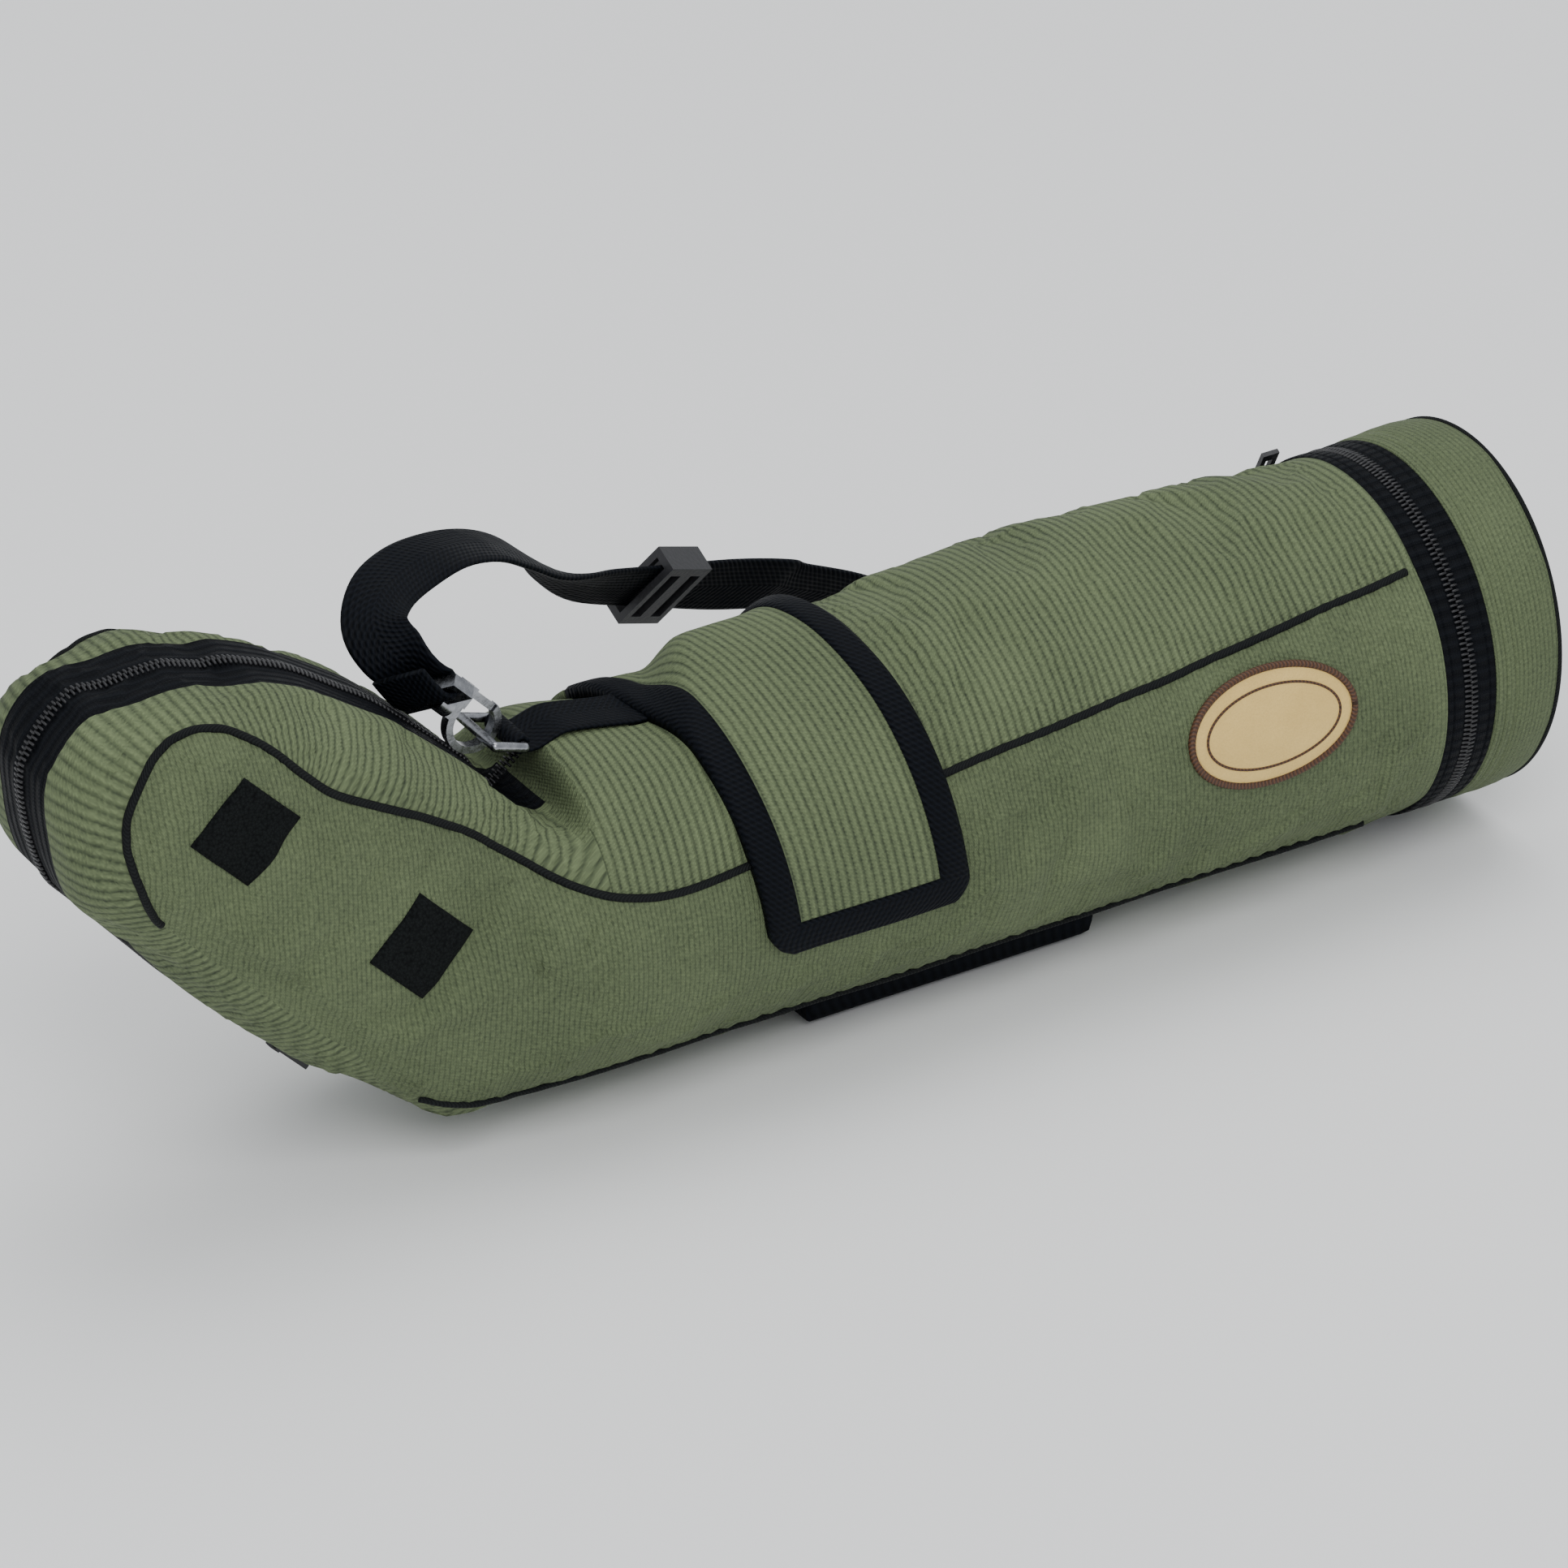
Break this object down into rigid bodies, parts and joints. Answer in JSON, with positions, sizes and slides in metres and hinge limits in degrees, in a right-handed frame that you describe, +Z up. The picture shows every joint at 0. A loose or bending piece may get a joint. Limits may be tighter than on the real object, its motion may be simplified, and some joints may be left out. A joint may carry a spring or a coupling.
{
  "type": "spotting scope",
  "caption": "Angled spotting scope in a padded olive stay-on case with zipped front lid, eyepiece cover, wrap flap and clip-on shoulder strap, on its tripod foot.",
  "frame": {"origin": "centre of the tripod socket mouth, on the underside of the foot", "axes": "+X towards the objective along the tube, +Z up, +Y to the side away from the badge; the tripod socket opens along -Z"},
  "size_m": [0.4964, 0.2531, 0.177],
  "materials": {
    "canvas": "ribbed olive canvas",
    "foam": "closed-cell foam",
    "zip_tape": "woven tape with coil",
    "webbing": "woven webbing",
    "piping": "satin piping",
    "hook_fabric": "hook and loop",
    "badge_face": "smooth patch",
    "badge_edge": "stitched edge",
    "plated_steel": "nickel plated",
    "black_plastic": "moulded",
    "armour": "grained rubber armour",
    "glass": "coated",
    "black_aluminium": "black anodised",
    "rubber": "ribbed rubber",
    "steel": "turned"
  },
  "bodies": {
    "case": {"top_panel": "canvas", "right_side_panel": "canvas", "left_side_panel": "canvas", "base_panel": "canvas", "notch_wall": "canvas", "neck_gussets": "canvas", "flap_anchor": "canvas", "foam_liner": "foam", "rear_zip_fixed_tape": "zip_tape", "front_zip_tape": "zip_tape", "neck_webbing": "webbing", "front_ring_tab": "webbing", "strap": "webbing", "foot_surround": "webbing", "seam_piping": "piping", "fixed_patches": "hook_fabric", "flap_hook_patch": "hook_fabric", "badge": "badge_face", "badge_rim": "badge_edge", "rear_hook": "plated_steel", "front_hook": "plated_steel", "strap_slider": "black_plastic", "objective_barrel": "armour", "body_tube": "armour", "prism_housing": "armour", "crown_lens": "glass", "flint_lens": "glass", "prism_block": "glass", "lens_spacer": "black_aluminium", "retaining_ring": "black_aluminium", "eyepiece_barrel": "black_aluminium", "tripod_foot": "black_aluminium", "guide_rods": "steel", "housing_screws": "steel"},
    "front_lid": {"front_lid": "canvas", "lid_zip_tape": "zip_tape"},
    "right_cover": {"right_cover": "canvas", "right_cover_tape": "zip_tape", "right_cover_patch": "hook_fabric"},
    "left_cover": {"left_cover": "canvas", "left_cover_tape": "zip_tape", "left_cover_patch": "hook_fabric"},
    "wrap_flap": {"wrap_flap": "canvas", "flap_binding": "webbing"},
    "front_zip_slider": {"front_zip_slider": "black_plastic"},
    "rear_zip_slider": {"rear_zip_slider": "black_plastic"},
    "rear_ring": {"rear_ring": "plated_steel"},
    "front_ring": {"front_ring": "plated_steel"},
    "rear_gate": {"rear_gate": "plated_steel"},
    "front_gate": {"front_gate": "plated_steel"},
    "focus_knob": {"focus_knob": "rubber", "focus_screw": "steel"},
    "focus_carriage": {"focus_carriage": "black_plastic", "focusing_lens": "glass"},
    "zoom_ring": {"zoom_ring": "rubber"},
    "zoom_front_cell": {"zoom_front_cell": "black_aluminium"},
    "zoom_rear_cell": {"zoom_rear_cell": "black_aluminium"},
    "eyecup_sleeve": {"eyecup_sleeve": "black_aluminium"},
    "eyecup": {"eyecup": "rubber"},
    "eyepiece_lock": {"eyepiece_lock": "steel"}
  },
  "joints": [
    {"name": "front_lid_hinge", "type": "hinge", "parent": "case", "child": "front_lid", "pos_m": [0.17125, 0, 0.123], "axis": [0, -1, 0], "range_deg": [0, 150]},
    {"name": "right_cover_fold", "type": "hinge", "parent": "case", "child": "right_cover", "pos_m": [-0.21401, -0.0435, 0.1136], "axis": [0.729, 0, 0.6845], "range_deg": [0, 175]},
    {"name": "left_cover_fold", "type": "hinge", "parent": "case", "child": "left_cover", "pos_m": [-0.21401, 0.0435, 0.1136], "axis": [-0.729, 0, -0.6845], "range_deg": [0, 175]},
    {"name": "wrap_flap_fold", "type": "hinge", "parent": "case", "child": "wrap_flap", "pos_m": [-0.052, 0.03573, 0.11713], "axis": [-1, 0, 0], "range_deg": [0, 95]},
    {"name": "front_zip_run", "type": "hinge", "parent": "case", "child": "front_zip_slider", "pos_m": [0.167, 0, 0.0635], "axis": [-1, 0, 0], "range_deg": [0, 238]},
    {"name": "rear_zip_run", "type": "slide", "parent": "case", "child": "rear_zip_slider", "axis": [-0.6845, 0, 0.729], "range_m": [0, 0.05]},
    {"name": "rear_ring_swing", "type": "hinge", "parent": "case", "child": "rear_ring", "pos_m": [-0.1336, 0, 0.1195], "axis": [0, 1, 0], "range_deg": [-4, 4]},
    {"name": "front_ring_swing", "type": "hinge", "parent": "case", "child": "front_ring", "pos_m": [0.13, 0.062, 0.0695], "axis": [1, 0, 0], "range_deg": [-4, 4]},
    {"name": "rear_gate_pivot", "type": "hinge", "parent": "case", "child": "rear_gate", "pos_m": [-0.14597, 0, 0.13785], "axis": [0, 1, 0], "range_deg": [0, 25], "stiffness_Nm_per_rad": 0.004},
    {"name": "front_gate_pivot", "type": "hinge", "parent": "case", "child": "front_gate", "pos_m": [0.13, 0.075, 0.0475], "axis": [1, 0, 0], "range_deg": [0, 25], "stiffness_Nm_per_rad": 0.004},
    {"name": "focus_turn", "type": "hinge", "parent": "case", "child": "focus_knob", "pos_m": [-0.036, 0, 0.1065], "axis": [1, 0, 0], "range_deg": [-900, 900]},
    {"name": "focus_slide", "type": "slide", "parent": "case", "child": "focus_carriage", "axis": [1, 0, 0], "range_m": [-0.008, 0.008]},
    {"name": "zoom_turn", "type": "hinge", "parent": "case", "child": "zoom_ring", "pos_m": [-0.20169, 0, 0.10048], "axis": [-0.6845, 0, 0.729], "range_deg": [0, 100]},
    {"name": "zoom_front_slide", "type": "slide", "parent": "case", "child": "zoom_front_cell", "axis": [-0.6845, 0, 0.729], "range_m": [0, 0.0071]},
    {"name": "zoom_rear_slide", "type": "slide", "parent": "case", "child": "zoom_rear_cell", "axis": [0.6845, 0, -0.729], "range_m": [0, 0.0051]},
    {"name": "eyecup_slide", "type": "slide", "parent": "case", "child": "eyecup_sleeve", "axis": [-0.6845, 0, 0.729], "range_m": [0, 0.0045]},
    {"name": "eyecup_twist", "type": "hinge", "parent": "eyecup_sleeve", "child": "eyecup", "pos_m": [-0.22223, 0, 0.12235], "axis": [-0.6845, 0, 0.729], "range_deg": [0, 27]},
    {"name": "eyepiece_lock_press", "type": "slide", "parent": "case", "child": "eyepiece_lock", "axis": [0, 1, 0], "range_m": [0, 0.0015], "stiffness_N_per_m": 400}
  ],
  "couplings": [
    {"joint": "focus_slide", "follows": "focus_turn", "m_per_rad": 0.000509},
    {"joint": "zoom_front_slide", "follows": "zoom_turn", "m_per_rad": 0.004},
    {"joint": "zoom_rear_slide", "follows": "zoom_turn", "m_per_rad": 0.0029},
    {"joint": "eyecup_twist", "follows": "eyecup_slide", "rad_per_m": 104.7}
  ]
}
